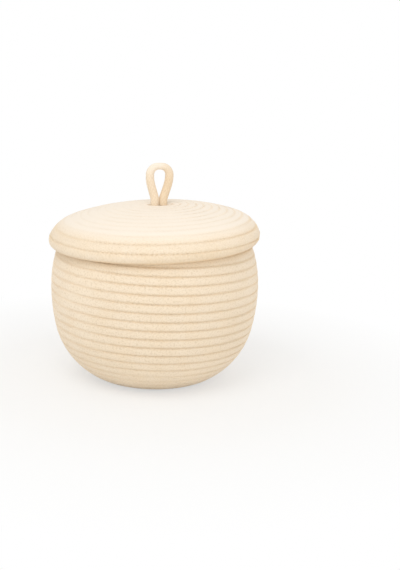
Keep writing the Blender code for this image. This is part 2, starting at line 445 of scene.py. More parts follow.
def tube_mesh(name, rings, along, material, around=None):
    """A closed tube through rings of points, with a fan at each end and a UV map.

    rings is an array of (rings, sides, 3). The UV map holds metres along the tube in U, and the
    share of the way round it in V.
    """
    count, sides, _ = rings.shape
    around = np.linspace(0, 1, sides + 1) if around is None else around
    ends = np.stack([rings[0].mean(axis=0), rings[-1].mean(axis=0)])
    points = np.concatenate([rings.reshape(-1, 3), ends])
    i, j = np.meshgrid(np.arange(count - 1), np.arange(sides), indexing="ij")
    j_next = (j + 1) % sides
    quads = np.stack([i * sides + j, i * sides + j_next, (i + 1) * sides + j_next,
                      (i + 1) * sides + j], axis=-1).reshape(-1, 4)
    quad_u = np.stack([along[i], along[i], along[i + 1], along[i + 1]], axis=-1)
    quad_v = around[np.stack([j, j + 1, j + 1, j], axis=-1)]
    k = np.arange(sides)
    k_next = (k + 1) % sides
    first = np.stack([k_next, k, np.full(sides, count * sides)], axis=-1)
    last_row = (count - 1) * sides
    last = np.stack([last_row + k, last_row + k_next, np.full(sides, count * sides + 1)], axis=-1)
    fan_u = np.concatenate([np.full((sides, 3), along[0]), np.full((sides, 3), along[-1])])
    fan_v = around[np.concatenate([np.stack([k + 1, k, k], axis=-1),
                                   np.stack([k, k + 1, k], axis=-1)])]
    corners = np.concatenate([quads.ravel(), first.ravel(), last.ravel()])
    u = np.concatenate([quad_u.ravel(), fan_u.ravel()])
    v = np.concatenate([quad_v.ravel(), fan_v.ravel()])
    starts = np.concatenate([np.arange(len(quads)) * 4,
                             len(quads) * 4 + np.arange(2 * sides) * 3])
    return mesh_object(name, points, corners, starts, np.stack([u, v], axis=-1), material)


def mesh_object(name, points, corners, starts, uv, material):
    """A smooth mesh object from whole arrays, turned so that its faces point outwards."""
    mesh = bpy.data.meshes.new(name)
    mesh.vertices.add(len(points))
    mesh.vertices.foreach_set("co", np.ascontiguousarray(points, dtype=np.float32).ravel())
    mesh.loops.add(len(corners))
    mesh.loops.foreach_set("vertex_index", corners.astype(np.int32))
    mesh.polygons.add(len(starts))
    mesh.polygons.foreach_set("loop_start", starts.astype(np.int32))
    mesh.update(calc_edges=True)
    layer = mesh.uv_layers.new(name=UV_MAP)
    layer.uv.foreach_set("vector", np.ascontiguousarray(uv, dtype=np.float32).ravel())
    mesh.validate()
    if signed_volume(mesh) < 0:
        mesh.flip_normals()
    mesh.shade_smooth()
    mesh.set_sharp_from_angle(angle=CREASE)
    mesh.materials.append(material)
    piece = bpy.data.objects.new(name, mesh)
    bpy.context.scene.collection.objects.link(piece)
    return piece


def signed_volume(mesh):
    """Volume inside a closed mesh, which is negative where its faces point inwards."""
    mesh.calc_loop_triangles()
    count = len(mesh.loop_triangles)
    corner = np.empty(count * 3, dtype=np.int32)
    mesh.loop_triangles.foreach_get("vertices", corner)
    place = np.empty(len(mesh.vertices) * 3, dtype=np.float32)
    mesh.vertices.foreach_get("co", place)
    a, b, c = place.reshape(-1, 3)[corner.reshape(-1, 3)].transpose(1, 0, 2).astype(float)
    return np.einsum("ij,ij->i", a, np.cross(b, c)).sum() / 6


def end_shares(along, length, power):
    """Share of full size near both ends: it rises from 0 along a quarter of a superellipse."""
    near = np.clip(np.minimum(along, along[-1] - along) / length, 0, 1)
    return (1 - (1 - near) ** power) ** (1 / power)


def dense_ends(turns, first_length, last_length):
    """Turn counts with extra points near both ends, so that the ends are rounded."""
    fine = np.linspace(0, 1, FINE_POINTS + 2)[1:-1] ** 2
    head = turns[0] + fine * first_length
    tail = turns[-1] - fine * last_length
    return np.unique(np.concatenate([turns, head, tail]))


def crest_share(across, squareness, press):
    """Height of a pressed rope over its middle, as a share of its crest.

    A superellipse (1 - |x / press|^q)^(1/q), cut off where it meets its neighbour at x = 1.
    """
    return (1 - np.abs(across / press) ** squareness) ** (1 / squareness)


def smooth_rise(value, low, high):
    """0 below one value, 1 above another, and a smooth rise between. They may be swapped."""
    share = np.clip((value - low) / (high - low), 0, 1)
    return share * share * (3 - 2 * share)


def thinning(share):
    """Width of a rope that is cut at a slant, from its tip at 0 to its full width at 1."""
    return TIP_WIDTH + (1 - TIP_WIDTH) * smooth_rise(share, 0, 1)


def coil_rings(coil, rope, press, hole=0.0):
    """Rings of a coiled rope: its profile bent along the section.

    Point = surface(n, x / 2) + height * crest * outward for each point x of the profile, so that
    rows meet on flat seams. Near its ends the rope thins out against the row that it is sewn to.
    The first row keeps clear of a hole, given in rows, and is squeezed against the next one there.
    A side with no neighbour, on the first row and the last, is round. press(turns, across) is how
    hard rows press on each other at a seam, and across is 0.5 for a row's seam with the next row,
    and -0.5 for its seam with the row before.
    Returned with them are the distance along the rope and the share of the way round.
    """
    turns = dense_ends(coil.turns, FINE_END / FULL_TURN / FIRST_RADIUS,
                       FINE_END / FULL_TURN / LAST_RADIUS)
    along = path_length(coil.place(turns)[0])
    x, face, around = profile(rope.sides)
    rounding = end_shares(along, ROUNDED_END, 2)
    at_start = thinning(along / rope.taper)
    at_end = thinning((along[-1] - along) / rope.taper)
    at_start = np.minimum(at_start, np.clip(turns + 0.5 - hole, LEAST_WIDTH, 1))
    thin = at_start * at_end
    across = ((thin * rounding)[:, None] * x + (at_end - at_start)[:, None]) / 2
    point, out = coil.place(turns[:, None], across)
    crest = (rope.crest + rope.unevenness * wobble(along, COIL_PHASE)) * rounding
    crest *= TIP_HEIGHT + (1 - TIP_HEIGHT) * thin
    second = coil.first + 1
    last_but_one = coil.last - 1
    before = smooth_rise(turns, second + FREE_CHANGE, second - FREE_CHANGE)[:, None]
    after = smooth_rise(turns, last_but_one - FREE_CHANGE, last_but_one + FREE_CHANGE)[:, None]
    free = np.where(x > 0, after, before)
    pressed = press(turns[:, None], np.where(x > 0, 0.5, -0.5)) * (1 - free) + free
    square = rope.squareness * (1 - free) + rope.free_squareness * free
    height = crest[:, None] * face * crest_share(x, square, pressed)
    return point + height[..., None] * out, along, around


# Materials

# The sockets of a colour Mix node: its first and second colour, and its result
MIX_FIRST = 6
MIX_SECOND = 7
MIX_RESULT = 2

# The braid: a strand's length along the rope, the strands round it, and how full they are
BRAID_LENGTH = 0.0042
BRAID_STRANDS = 8
BRAID_FULLNESS = 0.7

# Flecks in a metre of rope and round it, and the noise above which one shows
FLECKS_ALONG = 640.0
FLECKS_AROUND = 8.5
FLECK_FROM = 0.48

# The noise above which a patch is warm, and how fast it turns warm
WARM_FROM = 0.38
WARM_RISE = 2.2

# The cotton's least roughness, and how far the mottling varies it
LEAST_ROUGH = 0.86
ROUGH_VARIES = 0.10

# Seams: how narrow their painted shade and their dent are, the least painted shade and what a
# needle mark adds to it, and how many marks the mottling moves them by
SEAM_NARROWNESS = 9.0
DENT_NARROWNESS = 5.0
SEAM_LEAST = 0.4
NEEDLE_ADDS = 1.2
NEEDLE_DRIFT = 3

# What full painted light takes away from the seams' painted shade and from the flecks
MOST_PAINTED_LIGHT = 0.9

# The relief's depth, and the weight of each thing in it
RELIEF = 0.00030
BRAID_RELIEF = 0.7
DENT_RELIEF = 1.5
FLECK_RELIEF = 1.6
FIBRE_RELIEF = 0.25

# The thread: a ply's length along it, the plies, their painted shade and relief, and how far it
# takes the rope's colour under painted light
PLY_LENGTH = 0.0012
PLIES = 3
PLY_SHADE = 0.35
PLY_RELIEF = 0.00008
THREAD_PAINTED_LIGHT = 0.85


class Value:
    """A shader socket that can be used in sums. Numbers may stand on either side."""

    def __init__(self, nodes, output):
        self.nodes = nodes
        self.output = output

    def sum(self, operation, *values):
        """One Math node beside this socket's own."""
        return self.nodes.maths(operation, *values)

    def __add__(self, other):
        return self.sum("ADD", self, other)

    def __sub__(self, other):
        return self.sum("SUBTRACT", self, other)

    def __mul__(self, other):
        return self.sum("MULTIPLY", self, other)

    def __rsub__(self, other):
        return self.sum("SUBTRACT", other, self)

    __radd__ = __add__
    __rmul__ = __mul__


class Nodes:
    """The nodes of one material or world, made by calls."""

    def __init__(self, tree):
        self.tree = tree
        tree.nodes.clear()

    def node(self, kind, inputs=None, output=0, **settings):
        """Add a node: settings first, then values or links of its sockets. Returns one output."""
        made = self.tree.nodes.new(kind)
        for key, setting in settings.items():
            setattr(made, key, setting)
        for key, value in (inputs or {}).items():
            if isinstance(value, Value):
                self.tree.links.new(value.output, made.inputs[key])
            else:
                made.inputs[key].default_value = value
        return Value(self, made.outputs[output]) if made.outputs else None

    def maths(self, operation, *values):
        """One Math node on sockets or numbers."""
        return self.node("ShaderNodeMath", dict(enumerate(values)), operation=operation)

    def mix(self, share, first, second):
        """A colour between two colours."""
        return self.node("ShaderNodeMix", {0: share, MIX_FIRST: first, MIX_SECOND: second},
                         output=MIX_RESULT, data_type="RGBA")

    def clamp(self, value):
        """A value kept between 0 and 1."""
        return self.node("ShaderNodeClamp", {"Value": value})

    def largest(self, first, *others):
        """The largest of some values."""
        for other in others:
            first = self.maths("MAXIMUM", first, other)
        return first

    def length(self, vector):
        """A vector's length."""
        return self.node("ShaderNodeVectorMath", {0: vector}, output="Value", operation="LENGTH")

    def noise(self, vector, scale, detail, roughness=0.5):
        """Soft noise about 0.5, scale times in a unit of the vector."""
        return self.node("ShaderNodeTexNoise", {"Vector": vector, "Scale": scale,
                                                "Detail": detail, "Roughness": roughness})


def rgba(colour):
    """A colour property as four numbers."""
    return (*colour, 1)


def new_material(name):
    """A material with nodes, and the nodes."""
    material = bpy.data.materials.new(name)
    material.use_nodes = True
    return material, Nodes(material.node_tree)


def parts_of(nodes, place):
    """X, Y and Z of a place."""
    split = nodes.tree.nodes.new("ShaderNodeSeparateXYZ")
    nodes.tree.links.new(place.output, split.inputs[0])
    return [Value(nodes, output) for output in split.outputs]


def places_on_rope(nodes):
    """Metres along a piece's rope, the share of the way round it, and the place on the object."""
    along, around, _ = parts_of(nodes, nodes.node("ShaderNodeUVMap", uv_map=UV_MAP))
    return along, around, nodes.node("ShaderNodeTexCoord", output="Object")


def braid_height(nodes, along, around):
    """Height from 0 to 1 of a braided rope's strands.

    Two families of slanting strands, p = u + w and q = u - w, cross in diamonds. In every other
    diamond the first family lies on top, and in the rest the second. A strand's height is a
    parabola across it, and falls where it dives under its neighbour.
    """
    u = along * (1 / BRAID_LENGTH)
    w = around * BRAID_STRANDS
    p = u + w
    q = u - w
    cell_p = nodes.maths("FLOOR", p)
    cell_q = nodes.maths("FLOOR", q)
    turn = nodes.maths("FLOORED_MODULO", cell_p + cell_q, 2.0)
    in_p = nodes.maths("FRACT", p)
    in_q = nodes.maths("FRACT", q)
    across = in_p + turn * (in_q - in_p)
    length = in_q + turn * (in_p - in_q)
    bulge = 4 * across * (1 - across)
    dive = nodes.maths("SQRT", nodes.largest(4 * length * (1 - length), 0.0))
    return nodes.maths("POWER", nodes.largest(bulge * dive, 0.0), BRAID_FULLNESS)


def smooth_share(nodes, value, none, full, most=1.0):
    """0 where a value is none, the most where it is full, and a smooth rise between."""
    return nodes.node("ShaderNodeMapRange", {"Value": value, "From Min": none, "From Max": full,
                                             "To Max": most}, interpolation_type="SMOOTHSTEP")


def wall_sides(nodes, place):
    """Painted light on the wall's seams: most at the left, and a little less at the right and near
    the base.
    """
    x, _, z = parts_of(nodes, place)
    left = smooth_share(nodes, x, none=-0.035, full=-0.085)
    right = smooth_share(nodes, x, none=0.070, full=0.095, most=0.8)
    low = smooth_share(nodes, z, none=0.050, full=0.024, most=0.8)
    return nodes.largest(left, right, low)


def lid_middle(nodes, place):
    """Painted light on the lid's rope: paler in the middle, and less so towards the edge."""
    x, y, _ = parts_of(nodes, place)
    radius = nodes.length(nodes.node("ShaderNodeCombineXYZ", {"X": x, "Y": y}))
    return smooth_share(nodes, radius, none=0.0965, full=0.0830)


def loop_top(nodes, place):
    """Painted light on the loop's rope: paler at the top."""
    _, _, z = parts_of(nodes, place)
    return smooth_share(nodes, z, none=0.186, full=0.206)


def lid_level(nodes, place):
    """Height less the lid's lean, x tan(lean to the right) + y tan(lean to the back)."""
    x, y, z = parts_of(nodes, place)
    return z - math.tan(LID_LEAN_SIDE) * x - math.tan(LID_LEAN_BACK) * y


def wall_painted_shadow(nodes, place):
    """Painted shadow on the wall's top row, which the lid covers: it takes the deeper shade colour.
    """
    return smooth_share(nodes, lid_level(nodes, place), none=0.1225, full=0.1285, most=0.26)


def lid_painted_shadow(nodes, place):
    """Painted shadow on the lid's rope: the deeper shade colour underneath, and a little round the
    edge.
    """
    x, _, _ = parts_of(nodes, place)
    level = lid_level(nodes, place)
    under = smooth_share(nodes, level, none=0.1345, full=0.1288)
    edge = smooth_share(nodes, level, none=0.1410, full=0.1335, most=0.22)
    right = smooth_share(nodes, x, none=-0.060, full=0.020)
    return nodes.largest(under, edge * right)


def loop_painted_shade(nodes, place):
    """Painted shade on the loop's right leg: a little of the deeper shade colour."""
    x, _, _ = parts_of(nodes, place)
    return smooth_share(nodes, x, none=0.000, full=0.010, most=0.32)


def cotton_rope(name, colours, seam_depth, faded_where, unfaded_where, bleached=1.0, flecks=2.3,
                gaps=0.14):
    """Cream cotton cord: a braided cover, soft mottling, and painted warm shade in the seams
    between rows.

    The braid follows the rope's UV map. seam_depth is how strongly the rope's two sides, where it
    is sewn to its neighbours, take the painted shade colour, and unfaded_where how far all of it
    takes that colour as painted shadow. Where light is painted its seams and flecks are fainter,
    and lightening is how much paler it is there. flecks and gaps are how strongly the flecks and
    the painted shade in the gaps between the strands show. A seam is |4 |v - 1/2| - 1| to a power,
    which is 1 at both sides of the rope.
    """
    material, nodes = new_material(name)
    along, around, place = places_on_rope(nodes)
    faded = faded_where(nodes, place)
    # The share of the painted shade in seams and strand gaps, and of the relief and flecks, left
    # under painted light
    plain = 1 - MOST_PAINTED_LIGHT * faded
    unbleached = 1 - MOST_PAINTED_LIGHT * bleached * faded

    braid = braid_height(nodes, along, around)
    strands = nodes.node("ShaderNodeCombineXYZ", {"X": along * FLECKS_ALONG,
                                                  "Y": around * FLECKS_AROUND})
    fleck = nodes.noise(strands, scale=1.0, detail=2.0, roughness=0.6)
    mottle = nodes.noise(place, scale=55.0, detail=3.0)
    fibre = nodes.noise(place, scale=2600.0, detail=2.0)

    # Painted shade in the seams: strongest at the rope's two sides, and more at each needle mark
    across = nodes.maths("ABSOLUTE", 4 * nodes.maths("ABSOLUTE", around - 0.5) - 1)
    marks = along * (1 / BRAID_LENGTH) + mottle * NEEDLE_DRIFT
    needle = 0.5 - 0.5 * nodes.maths("COSINE", marks * FULL_TURN)
    seam = nodes.maths("POWER", across, SEAM_NARROWNESS) * (SEAM_LEAST + NEEDLE_ADDS * needle)
    # Painted shade in the gaps between the braid's strands
    gap = (1 - braid) * gaps
    spot = nodes.largest((fleck - FLECK_FROM) * flecks, 0.0)
    body = nodes.mix(nodes.clamp((mottle - WARM_FROM) * WARM_RISE), rgba(colours.cotton),
                     rgba(colours.warm))
    # Painted light: paler where light falls on the lid's middle and the loop's top
    body = nodes.mix(faded * bleached, body, rgba(colours.faded))
    # Painted shadow: the deeper shade colour under the lid's edge, and on the loop's right leg
    body = nodes.mix(unfaded_where(nodes, place), body, rgba(colours.shade_colour))
    body = nodes.mix(nodes.clamp(spot * unbleached), body, rgba(colours.fleck))
    # The painted shade in the seams and the strand gaps, fainter where light is painted
    colour = nodes.mix(nodes.clamp((seam * seam_depth + gap) * plain), body,
                       rgba(colours.shade_colour))

    dent = nodes.maths("POWER", across, DENT_NARROWNESS) * needle
    relief = ((braid * BRAID_RELIEF - dent * DENT_RELIEF) * plain
              - fleck * FLECK_RELIEF * unbleached + fibre * FIBRE_RELIEF)
    bump = nodes.node("ShaderNodeBump", {"Height": relief, "Strength": 1.0, "Distance": RELIEF})
    shader = nodes.node("ShaderNodeBsdfPrincipled", {
        "Base Color": colour, "Roughness": LEAST_ROUGH + ROUGH_VARIES * mottle, "Normal": bump,
        "Specular IOR Level": 0.25, "Sheen Weight": 0.15, "Sheen Roughness": 0.5})
    nodes.node("ShaderNodeOutputMaterial", {"Surface": shader})
    return material


def cotton_thread(name, colours, faded_where, unfaded_where, like):
    """Twisted sewing thread: slanting plies along its UV map, a sine of the way along and round.

    Between the plies it takes painted shade. Where light is painted it takes the colour of the rope
    that it is like, and where shadow is painted the deeper shade colour.
    """
    material, nodes = new_material(name)
    along, around, place = places_on_rope(nodes)
    turns = along * (1 / PLY_LENGTH) + around * PLIES
    ply = nodes.maths("SINE", turns * FULL_TURN) * 0.5 + 0.5
    # Painted shade between the plies
    twisted = nodes.mix(ply * PLY_SHADE, rgba(colours.thread), rgba(colours.shade_colour))
    # Painted light: the rope's own colour where light is painted
    colour = nodes.mix(faded_where(nodes, place) * THREAD_PAINTED_LIGHT, twisted, rgba(like))
    colour = nodes.mix(unfaded_where(nodes, place), colour, rgba(colours.shade_colour))
    bump = nodes.node("ShaderNodeBump", {"Height": ply, "Strength": 0.6, "Distance": PLY_RELIEF})
    shader = nodes.node("ShaderNodeBsdfPrincipled", {
        "Base Color": colour, "Roughness": 0.7, "Normal": bump, "Specular IOR Level": 0.3})
    nodes.node("ShaderNodeOutputMaterial", {"Surface": shader})
    return material


def material_named(name, make, **settings):
    """A material that is made once and then shared."""
    return bpy.data.materials.get(name) or make(name, **settings)


# Coils of this basket

# How hard the wall's rows press at the right and low down, as shares of the side press, and the
# rows between which the lower wall's press fades
RIGHT_PRESS = 0.60
LOW_PRESS = 0.75
LOW_ROWS = 9.0
UPPER_ROWS = 12.0

# The lid's press at the left: its edge's share of the side press, and what its middle gains. The
# edge's press turns into the middle's between these rows, counted from the last
EDGE_PRESS = 0.80
MIDDLE_GAINS = 0.50
EDGE_ROWS = 0.95
MIDDLE_ROWS = 3.50

# Points along half the loop
LOOP_POINTS = 70

# The seams' thread: where its first needle hole is, the share of a stitch in which it dives, its
# height over the rope in thread radii, the press between which it beds in, and its sides
FIRST_HOLE = 0.004
DIVE = 0.18
THREAD_HEIGHT = 0.10
BED_FROM = 1.6
BED_FULL = 2.5
THREAD_SIDES = 4

# A rise that keeps the direction out of the basket from being nothing on its axis
LITTLE_RISE = 1e-3


def basket_coil(scene):
    """The basket's coil. Its spacing narrows evenly: s(n) = p n - k n^2 / 2."""
    shape, rope = scene.basket_shape, scene.basket_rope_sizes
    narrowing = (shape.base_pitch - shape.rim_pitch) / shape.last_turn

    def spacing(turns):
        return shape.base_pitch * turns - narrowing * turns ** 2 / 2

    return Coil(basket_section(shape, rope), spacing, shape.first_turn, shape.last_turn, FRONT,
                CLOCKWISE, 1, rope.steps_per_turn)


def lid_coil(scene):
    """The lid's coil, evenly spaced: s(n) = p n. It starts round the loop's legs."""
    lid, rope, loop = scene.basket_lid, scene.basket_rope_sizes, scene.basket_loop
    return Coil(lid_section(lid), lambda turns: lid.pitch * turns, lid.first_turn, lid.last_turn,
                lid.end_azimuth, COUNTERCLOCKWISE, -1, rope.steps_per_turn,
                (loop.offset, loop.leg_offset))


def facing(coil, turns, side):
    """How far a place on a coil faces right (side 1) or left (side -1): a cosine, or 0."""
    return np.clip(side * np.cos(coil.azimuth(turns)), 0, 1)


def wall_press(rope, coil):
    """How hard the wall's rows press on each other: harder at the sides and near the base.

    The rise is the greatest of cos^2 at the left, a share of cos^3 at the right, and a smooth
    rise down the wall.
    """
    def press(turns, across):
        left = facing(coil, turns, -1) ** 2
        right = RIGHT_PRESS * facing(coil, turns, 1) ** 3
        low = LOW_PRESS * smooth_rise(turns + across, UPPER_ROWS, LOW_ROWS)
        return rope.press + rope.side_press * np.maximum(np.maximum(left, right), low)

    return press


def lid_press(rope, coil):
    """How hard the lid's rows press: harder in the middle than at the edge, and at the left.

    Both rise with cos^2 at the left, and one turns smoothly into the other.
    """
    def press(turns, across):
        left = facing(coil, turns, -1) ** 2
        edge = rope.press + EDGE_PRESS * rope.side_press * left
        middle = rope.lid_press * (1 + MIDDLE_GAINS * left)
        share = smooth_rise(turns + across, coil.last - EDGE_ROWS, coil.last - MIDDLE_ROWS)
        return edge + (middle - edge) * share

    return press


def loop_path(loop, rope):
    """The loop's centre line in the plane y = 0, and the direction across it in that plane.

    Right half as arcs from the foot up: straight leg, bend outwards, slant, gentle curve back to
    upright, a quarter circle and half of the flat top. The left half is its mirror image.
    """
    sin, cos = math.sin(loop.splay), math.cos(loop.splay)
    reach = loop.top_flat + loop.top_radius - loop.leg_offset
    slant = (reach - (loop.bend_radius + loop.side_radius) * (1 - cos)) / sin
    lengths = [loop.tail + rope.crest + loop.straight, loop.bend_radius * loop.splay, slant,
               loop.side_radius * loop.splay, loop.top_radius * math.pi / 2, loop.top_flat]
    bends = [0, -1 / loop.bend_radius, 0, 1 / loop.side_radius, 1 / loop.top_radius, 0]
    line = walk(lengths, bends, -loop.tail - rope.crest, heading=math.pi / 2)
    distance = np.unique(np.concatenate([np.linspace(0, sum(lengths), LOOP_POINTS),
                                         np.linspace(0, FINE_END, FINE_POINTS + 2)]))
    out, height, heading = line(distance)
    none = np.zeros_like(out)
    centre = np.stack([loop.leg_offset + out, none, height], axis=-1)
    # The last point is the top's middle, where the two halves join
    centre[-1, 0] = 0.0
    across = np.stack([np.sin(heading), none, -np.cos(heading)], axis=-1)
    mirror = np.array([-1, 1, 1])
    return [np.concatenate([half, (half * mirror)[-2::-1]]) for half in (centre, across)]


def place_loop(points, loop):
    """Lean the loop to the right, turn it about the upright axis, and stand it in the lid.

    Both are rotations: by the tilt about Y, then by the turn about Z.
    """
    x, y, z = points[..., 0], points[..., 1], points[..., 2]
    cos, sin = math.cos(loop.tilt), math.sin(loop.tilt)
    x, z = x * cos + z * sin, z * cos - x * sin
    cos, sin = math.cos(loop.turn), math.sin(loop.turn)
    return np.stack([x * cos - y * sin + loop.offset, x * sin + y * cos, z], axis=-1)


def loop_rings(loop, rope):
    """Rings of the loop's rope, which are circles square to its line, and the distance along it.

    The rope rounds off at its ends, varies a little, and is thinner where it bends over the top,
    by exp(-(d / r)^2) at the distance d from the top's middle, where r is the bend's radius.
    """
    centre, across = loop_path(loop, rope)
    along = path_length(centre)
    over_top = np.exp(-((along - along[-1] / 2) / loop.top_radius) ** 2)
    thick = (loop.radius * end_shares(along, FINE_END, 2) * (1 - loop.top_thinning * over_top)
             + rope.unevenness * wobble(along, LOOP_PHASE))
    angle = np.arange(rope.sides) / rope.sides * FULL_TURN
    rings = (centre[:, None]
             + (thick[:, None] * np.cos(angle))[..., None] * across[:, None]
             + (thick[:, None] * np.sin(angle))[..., None] * np.array([0, 1, 0]))
    return place_loop(rings, loop), along


def set_down(points, lid):
    """Place the lid on the basket: raise it, lean it forwards and then sideways, and shift it.

    The leans are rotations about the lines along X and Y that cross at the pivot's height.
    """
    x, y, z = points[..., 0], points[..., 1], points[..., 2] + lid.apex - lid.pivot_height
    cos, sin = math.cos(lid.lean_back), math.sin(lid.lean_back)
    y, z = y * cos - z * sin, y * sin + z * cos
    cos, sin = math.cos(lid.lean_side), math.sin(lid.lean_side)
    x, z = x * cos - z * sin, x * sin + z * cos
    return np.stack([x + lid.shift_x, y + lid.shift_y, z + lid.pivot_height], axis=-1)


def seam_points(coil, rope, press, stitch, face):
    """A zigzag of thread over the seam between each row and the next.

    At each needle hole the thread dips into one rope, then crosses the seam and dips into the
    other. Between them it lies on the rope, and beds in where rows are pressed flat. face is 1
    for the outside and -1 for the inside.
    """
    along = path_length(coil.place(coil.turns)[0])
    last = np.interp(coil.last - 1, coil.turns, along)
    holes = np.arange(FIRST_HOLE, last, stitch.spacing)
    places = (holes[:, None] + stitch.spacing * np.array([0, DIVE, 1 - DIVE])).ravel()
    side = np.where(np.arange(len(holes)) % 2 == 0, -1.0, 1.0)
    reach = (side[:, None] * np.array([1, 1 - DIVE, DIVE - 1])).ravel() * stitch.reach
    over = THREAD_HEIGHT * stitch.thread
    lift = np.tile([-stitch.sink, over, over], len(holes))
    turns = np.interp(places, along, coil.turns)
    pressed = press(turns, 0.5)
    rise = rope.crest * crest_share(1 - 2 * np.abs(reach), rope.squareness, pressed)
    rise -= stitch.bed * smooth_rise(pressed, BED_FROM, BED_FULL)
    point, out = coil.place(turns, 0.5 + reach)
    return point + (face * (rise + lift))[:, None] * out


def thread_rings(points, radius):
    """Rings of a thin thread: circles square to its path.

    Their first direction is square to the path and to the way out of the basket, and their second
    is square to the path and to the first.
    """
    ahead = np.gradient(points, axis=0)
    ahead /= np.linalg.norm(ahead, axis=1, keepdims=True)
    outwards = points * np.array([1, 1, 0]) + np.array([0, 0, LITTLE_RISE])
    up = np.cross(ahead, outwards)
    up /= np.linalg.norm(up, axis=1, keepdims=True)
    over = np.cross(ahead, up)
    angle = np.arange(THREAD_SIDES) / THREAD_SIDES * FULL_TURN
    return (points[:, None] + radius * (np.cos(angle)[:, None] * up[:, None]
                                        + np.sin(angle)[:, None] * over[:, None]))


def finish_piece(piece, body, stands_for=None):
    """Join a piece to its body, and hide the CAD node that it stands for."""
    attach(piece, body)
    if stands_for:
        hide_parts(stands_for)


# The stage

FARTHEST_SEEN = 20
KEY_PLACE = (-0.30, -0.80, 1.35)
SIDE_PLACE = (-1.45, -0.45, 0.45)
FILL_PLACE = (0.55, -1.30, 0.45)
LIT_PLACE = (0, 0, 0.10)
LAMP_SIZE = 0.9
SOFT_LIGHT = (1.0, 0.985, 0.96, 1)
WHITE = (1, 1, 1, 1)
FLOOR_GREY = (0.88, 0.88, 0.87, 1)
FLOOR_RADIUS = 3
FLOOR_SIDES = 96

# The floor's shading shows most within the first radius and not at all past the second, and this
# is the least white that is mixed in
SHADE_RADIUS = 0.16
WHITE_RADIUS = 0.34
LEAST_WHITE = 0.55


def looking(place, back, roll=0.0):
    """Where a camera or a lamp stands that looks away from a direction, turned about it by roll.

    Right is square to the direction and level, and up is square to both.
    """
    back = back / np.linalg.norm(back)
    right = np.cross([0, 0, 1], back)
    right /= np.linalg.norm(right)
    up = np.cross(back, right)
    cos, sin = math.cos(roll), math.sin(roll)
    axes = np.stack([cos * right + sin * up, cos * up - sin * right, back], axis=1)
    stand = Matrix(axes.tolist()).to_4x4()
    stand.translation = place
    return stand


def seen_directly(nodes):
    """1 for rays from the camera, or mirrored or let through, and 0 for light."""
    path = nodes.tree.nodes.new("ShaderNodeLightPath")
    return nodes.largest(*[Value(nodes, path.outputs[name]) for name in
                           ("Is Camera Ray", "Is Glossy Ray", "Is Transmission Ray")])


# Operators

class BASKET_OT_basket_rope(bpy.types.Operator):
    """Wind the basket's rope from the centre of the base to the rim"""
    bl_idname = "rope_basket.basket_rope"
    bl_label = "Basket Rope"

    def execute(self, context):
        scene = context.scene
        # The wall's rope: painted shade in its seams, painted light at its sides, a painted shadow
        # under the lid
        cotton = material_named("cotton_rope_wall", cotton_rope, colours=scene.basket_colours,
                                seam_depth=0.18, faded_where=wall_sides,
                                unfaded_where=wall_painted_shadow, bleached=0.0)
        rope = scene.basket_rope_sizes
        coil = basket_coil(scene)
        rings, along, around = coil_rings(coil, rope, wall_press(rope, coil))
        rings[..., 2] = np.maximum(rings[..., 2], 0.0)
        piece = tube_mesh("wound_basket_rope", rings, along, cotton, around)
        finish_piece(piece, "basket", stands_for="basket_rope")
        return {"FINISHED"}


class BASKET_OT_lid_rope(bpy.types.Operator):
    """Wind the lid's rope from the loop over the dome to the skirt"""
    bl_idname = "rope_basket.lid_rope"
    bl_label = "Lid Rope"

    def execute(self, context):
        scene = context.scene
        # The lid's rope: painted shade in its seams, painted light in its middle, a painted shadow
        # under it
        cotton = material_named("cotton_rope_lid", cotton_rope, colours=scene.basket_colours,
                                seam_depth=0.16, faded_where=lid_middle,
                                unfaded_where=lid_painted_shadow, flecks=1.7)
        rope = scene.basket_rope_sizes
        lid = scene.basket_lid
        coil = lid_coil(scene)
        rings, along, around = coil_rings(coil, rope, lid_press(rope, coil), lid.hole)
        piece = tube_mesh("wound_lid_rope", set_down(rings, lid), along, cotton, around)
        finish_piece(piece, "lid", stands_for="lid_rope")
        return {"FINISHED"}


class BASKET_OT_loop(bpy.types.Operator):
    """Bend the loop's rope: two legs side by side, a slant outwards and a round top"""
    bl_idname = "rope_basket.loop"
    bl_label = "Loop"

    def execute(self, context):
        scene = context.scene
        # The loop's rope: painted light at its top, and painted shade on its right leg
        cotton = material_named("cotton_rope_loop", cotton_rope, colours=scene.basket_colours,
                                seam_depth=0.0, faded_where=loop_top, unfaded_where=loop_painted_shade,
                                bleached=0.8, flecks=0.9, gaps=0.34)
        rings, along = loop_rings(scene.basket_loop, scene.basket_rope_sizes)
        rings = set_down(rings, scene.basket_lid)
        piece = tube_mesh("bent_loop_rope", rings, along, cotton)
        finish_piece(piece, "lid", stands_for="loop_handle")
        return {"FINISHED"}


class BASKET_OT_stitches(bpy.types.Operator):
    """Sew the rows together with a zigzag of thread, outside and inside"""
    bl_idname = "rope_basket.stitches"
    bl_label = "Stitches"

    def execute(self, context):
        scene = context.scene
        rope, stitch, lid = scene.basket_rope_sizes, scene.basket_stitches, scene.basket_lid
        colours = scene.basket_colours
        thread = material_named("cotton_thread_wall", cotton_thread, colours=colours,
                                faded_where=wall_sides, unfaded_where=wall_painted_shadow,
                                like=colours.cotton)
        pale = material_named("cotton_thread_lid", cotton_thread, colours=colours,
                              faded_where=lid_middle, unfaded_where=lid_painted_shadow,
                              like=colours.faded)
        wall, dome = basket_coil(scene), lid_coil(scene)
        for face, where in ((1, "outside"), (-1, "inside")):
            points = seam_points(wall, rope, wall_press(rope, wall), stitch, face)
            points[:, 2] = np.maximum(points[:, 2], stitch.thread)
            piece = tube_mesh(f"basket_stitches_{where}", thread_rings(points, stitch.thread),
                              path_length(points), thread)
            finish_piece(piece, "basket")
            points = seam_points(dome, rope, lid_press(rope, dome), stitch, face)
            points = set_down(points, lid)
            piece = tube_mesh(f"lid_stitches_{where}", thread_rings(points, stitch.thread),
                              path_length(points), pale)
            finish_piece(piece, "lid")
        return {"FINISHED"}


